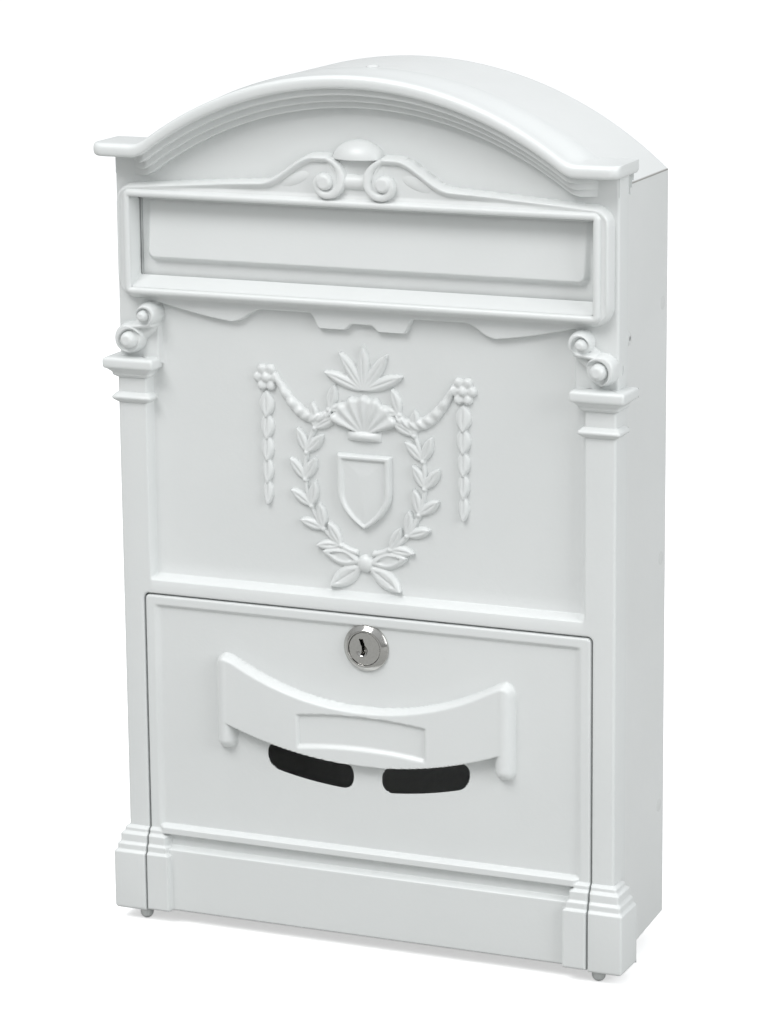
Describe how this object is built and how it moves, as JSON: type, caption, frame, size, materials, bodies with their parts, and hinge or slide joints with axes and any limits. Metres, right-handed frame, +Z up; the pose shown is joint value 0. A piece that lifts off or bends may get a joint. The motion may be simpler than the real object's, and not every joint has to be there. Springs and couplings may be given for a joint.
{
  "type": "letter box",
  "caption": "Wall letter box with a cast pilaster and pediment front, a letter slot with an inward flap, a locking drop-down door and a sheet-metal case.",
  "frame": {"origin": "centre of the wall-hole pattern on the back face", "axes": "+X to the right seen from the front, +Y into the wall, +Z up"},
  "size_m": [0.2596, 0.0846, 0.4156],
  "materials": {
    "cast_paint": "white satin powder coat on cast aluminium",
    "sheet_paint": "white satin powder coat on steel sheet",
    "rivet_paint": "white painted rivets",
    "lock_chrome": "polished chrome plate on the lock",
    "plain_steel": "bright zinc-plated steel"
  },
  "bodies": {
    "base": {"front_frame": "cast_paint", "case_wrap": "sheet_paint", "roof_sheet": "sheet_paint", "back_plate": "sheet_paint", "front_rivets": "rivet_paint", "back_rivets": "rivet_paint", "flap_rod": "plain_steel", "rod_clips": "plain_steel", "hinge_pins": "plain_steel"},
    "door": {"door": "cast_paint", "lock_barrel": "lock_chrome", "lock_nut": "plain_steel"},
    "lock": {"lock_plug": "lock_chrome", "lock_cam": "plain_steel", "cam_washer": "plain_steel", "cam_screw": "plain_steel"},
    "flap": {"letter_flap": "cast_paint"}
  },
  "joints": [
    {"name": "door_hinge", "type": "hinge", "parent": "base", "child": "door", "pos_m": [0, -0.0728, -0.2], "axis": [1, 0, 0], "range_deg": [0, 95]},
    {"name": "flap_hinge", "type": "hinge", "parent": "base", "child": "flap", "pos_m": [0, -0.0666, 0.1432], "axis": [1, 0, 0], "range_deg": [0, 75]},
    {"name": "lock_turn", "type": "hinge", "parent": "door", "child": "lock", "pos_m": [0.0015, -0.0665, -0.0636], "axis": [0, -1, 0], "range_deg": [0, 90]}
  ]
}
